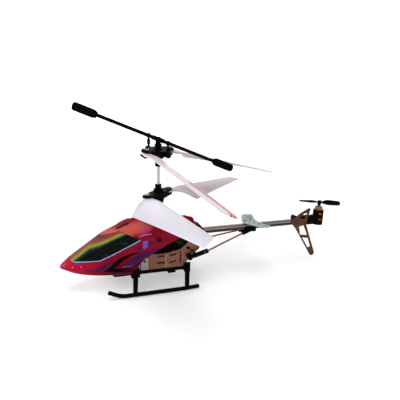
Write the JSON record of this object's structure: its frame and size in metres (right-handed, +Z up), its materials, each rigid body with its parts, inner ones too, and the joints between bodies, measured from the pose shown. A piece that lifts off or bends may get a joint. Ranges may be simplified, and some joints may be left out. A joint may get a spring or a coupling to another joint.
{
  "type": "remote control helicopter",
  "caption": "Palm-size coaxial toy helicopter: moulded canopy, metal side plates, counter-turning main rotors with a weighted stabiliser bar, tail boom, lifting tail rotor and skids.",
  "frame": {"origin": "underside of the base plate's pad, straight below the mast", "axes": "+X toward the tail, nose toward -X, -Y port side, +Z up along the mast"},
  "size_m": [0.2122, 0.1515, 0.1217],
  "materials": {
    "crimson_shell": "glossy crimson moulding with printed black and violet swooshes",
    "iridescent_window": "dark colour-shifting film, brown on the roof to teal and black on the sides",
    "bronze_metal": "bronze anodised, satin",
    "plated_trim": "bright plated metal",
    "blue_grey_metal": "blue-grey anodised, satin",
    "black_plastic": "black, semi-matte",
    "white_blade": "thin white moulding, crimson pinstripes on one blade",
    "steel": "ground steel",
    "board_green": "printed circuit board",
    "battery_wrap": "foil-wrapped cell"
  },
  "bodies": {
    "airframe": {"base_plate": "black_plastic", "skid_left": "black_plastic", "skid_right": "black_plastic", "front_leg_arch": "black_plastic", "rear_leg_arch": "black_plastic", "switch_housing": "black_plastic", "side_plate_left": "bronze_metal", "front_bracket_left": "plated_trim", "side_plate_right": "bronze_metal", "front_bracket_right": "plated_trim", "main_frame": "black_plastic", "battery": "battery_wrap", "circuit_board": "board_green", "infrared_receiver": "black_plastic", "main_motor_left": "steel", "main_motor_right": "steel", "canopy": "crimson_shell", "window_panel": "iridescent_window", "grommet_left": "crimson_shell", "grommet_right": "crimson_shell", "tail_boom": "bronze_metal", "stay_clip_left": "black_plastic", "stay_rod_left": "bronze_metal", "stay_clip_right": "black_plastic", "stay_rod_right": "bronze_metal", "boom_clamp": "black_plastic", "horizontal_stabiliser": "blue_grey_metal", "vertical_fin": "bronze_metal", "fin_clamp": "black_plastic", "tail_motor_holder": "black_plastic", "tail_motor": "bronze_metal"},
    "inner_shaft": {"inner_shaft": "steel", "lower_gear": "black_plastic", "head_post": "black_plastic"},
    "outer_sleeve": {"outer_sleeve": "black_plastic", "upper_gear": "black_plastic", "lower_hub": "black_plastic", "lower_pin_near": "plated_trim", "lower_pin_far": "plated_trim"},
    "pinion_left": {"pinion_left": "plated_trim"},
    "pinion_right": {"pinion_right": "plated_trim"},
    "lower_blade_near": {"lower_blade_near": "white_blade"},
    "lower_blade_far": {"lower_blade_far": "white_blade"},
    "upper_hub": {"upper_hub": "black_plastic", "upper_pin_near": "plated_trim", "upper_pin_far": "plated_trim"},
    "upper_blade_near": {"upper_blade_near": "white_blade"},
    "upper_blade_far": {"upper_blade_far": "white_blade"},
    "flybar": {"flybar": "black_plastic", "flybar_weight_left": "black_plastic", "flybar_weight_right": "black_plastic"},
    "link_front": {"link_front": "black_plastic"},
    "link_rear": {"link_rear": "black_plastic"},
    "tail_rotor": {"tail_rotor": "black_plastic"},
    "switch_slider": {"switch_slider": "plated_trim"}
  },
  "joints": [
    {"name": "inner_shaft_spin", "type": "hinge", "parent": "airframe", "child": "inner_shaft", "pos_m": [0, 0, 0.0515], "axis": [0, 0, 1], "continuous": true},
    {"name": "outer_sleeve_spin", "type": "hinge", "parent": "airframe", "child": "outer_sleeve", "pos_m": [0, 0, 0.0415], "axis": [0, 0, 1], "continuous": true},
    {"name": "pinion_left_spin", "type": "hinge", "parent": "airframe", "child": "pinion_left", "pos_m": [-0.01416, -0.0031, 0.0165], "axis": [0, 0, 1], "continuous": true},
    {"name": "pinion_right_spin", "type": "hinge", "parent": "airframe", "child": "pinion_right", "pos_m": [-0.01416, 0.0031, 0.0195], "axis": [0, 0, 1], "continuous": true},
    {"name": "tail_rotor_spin", "type": "hinge", "parent": "airframe", "child": "tail_rotor", "pos_m": [0.1323, 0, 0.0423], "axis": [0, 0, 1], "continuous": true},
    {"name": "lower_near_fold", "type": "hinge", "parent": "outer_sleeve", "child": "lower_blade_near", "pos_m": [-0.00916, -0.01072, 0.0542], "axis": [0, 0, 1], "range_deg": [-130, 30]},
    {"name": "lower_far_fold", "type": "hinge", "parent": "outer_sleeve", "child": "lower_blade_far", "pos_m": [0.00916, 0.01072, 0.0542], "axis": [0, 0, 1], "range_deg": [-62.4, 97.6]},
    {"name": "flybar_tilt", "type": "hinge", "parent": "inner_shaft", "child": "flybar", "pos_m": [0, 0, 0.0912], "axis": [0.0958, 0.9954, 0], "range_deg": [-41, 0]},
    {"name": "hub_feather", "type": "hinge", "parent": "inner_shaft", "child": "upper_hub", "pos_m": [0, 0, 0.083], "axis": [0.6934, 0.7206, 0], "range_deg": [-30.8, 0]},
    {"name": "link_front_swing", "type": "hinge", "parent": "flybar", "child": "link_front", "pos_m": [-0.00537, 0.00551, 0.0934], "axis": [0.0958, 0.9954, 0], "range_deg": [0, 41]},
    {"name": "link_rear_swing", "type": "hinge", "parent": "flybar", "child": "link_rear", "pos_m": [0.00537, -0.00551, 0.089], "axis": [0.0958, 0.9954, 0], "range_deg": [0, 41]},
    {"name": "upper_near_fold", "type": "hinge", "parent": "upper_hub", "child": "upper_blade_near", "pos_m": [-0.00978, -0.01016, 0.083], "axis": [0.1913, -0.1841, 0.9641], "range_deg": [-108.2, 16.8]},
    {"name": "upper_far_fold", "type": "hinge", "parent": "upper_hub", "child": "upper_blade_far", "pos_m": [0.00978, 0.01016, 0.083], "axis": [0.1913, -0.1841, 0.9641], "range_deg": [-1, 129.6]},
    {"name": "power_switch_slide", "type": "slide", "parent": "airframe", "child": "switch_slider", "axis": [1, 0, 0], "range_m": [0, 0.0015]}
  ],
  "couplings": [
    {"joint": "pinion_left_spin", "follows": "inner_shaft_spin", "ratio": -8},
    {"joint": "pinion_right_spin", "follows": "outer_sleeve_spin", "ratio": -8},
    {"joint": "hub_feather", "follows": "flybar_tilt", "ratio": 0.7512},
    {"joint": "link_front_swing", "follows": "flybar_tilt", "ratio": -1},
    {"joint": "link_rear_swing", "follows": "flybar_tilt", "ratio": -1}
  ]
}
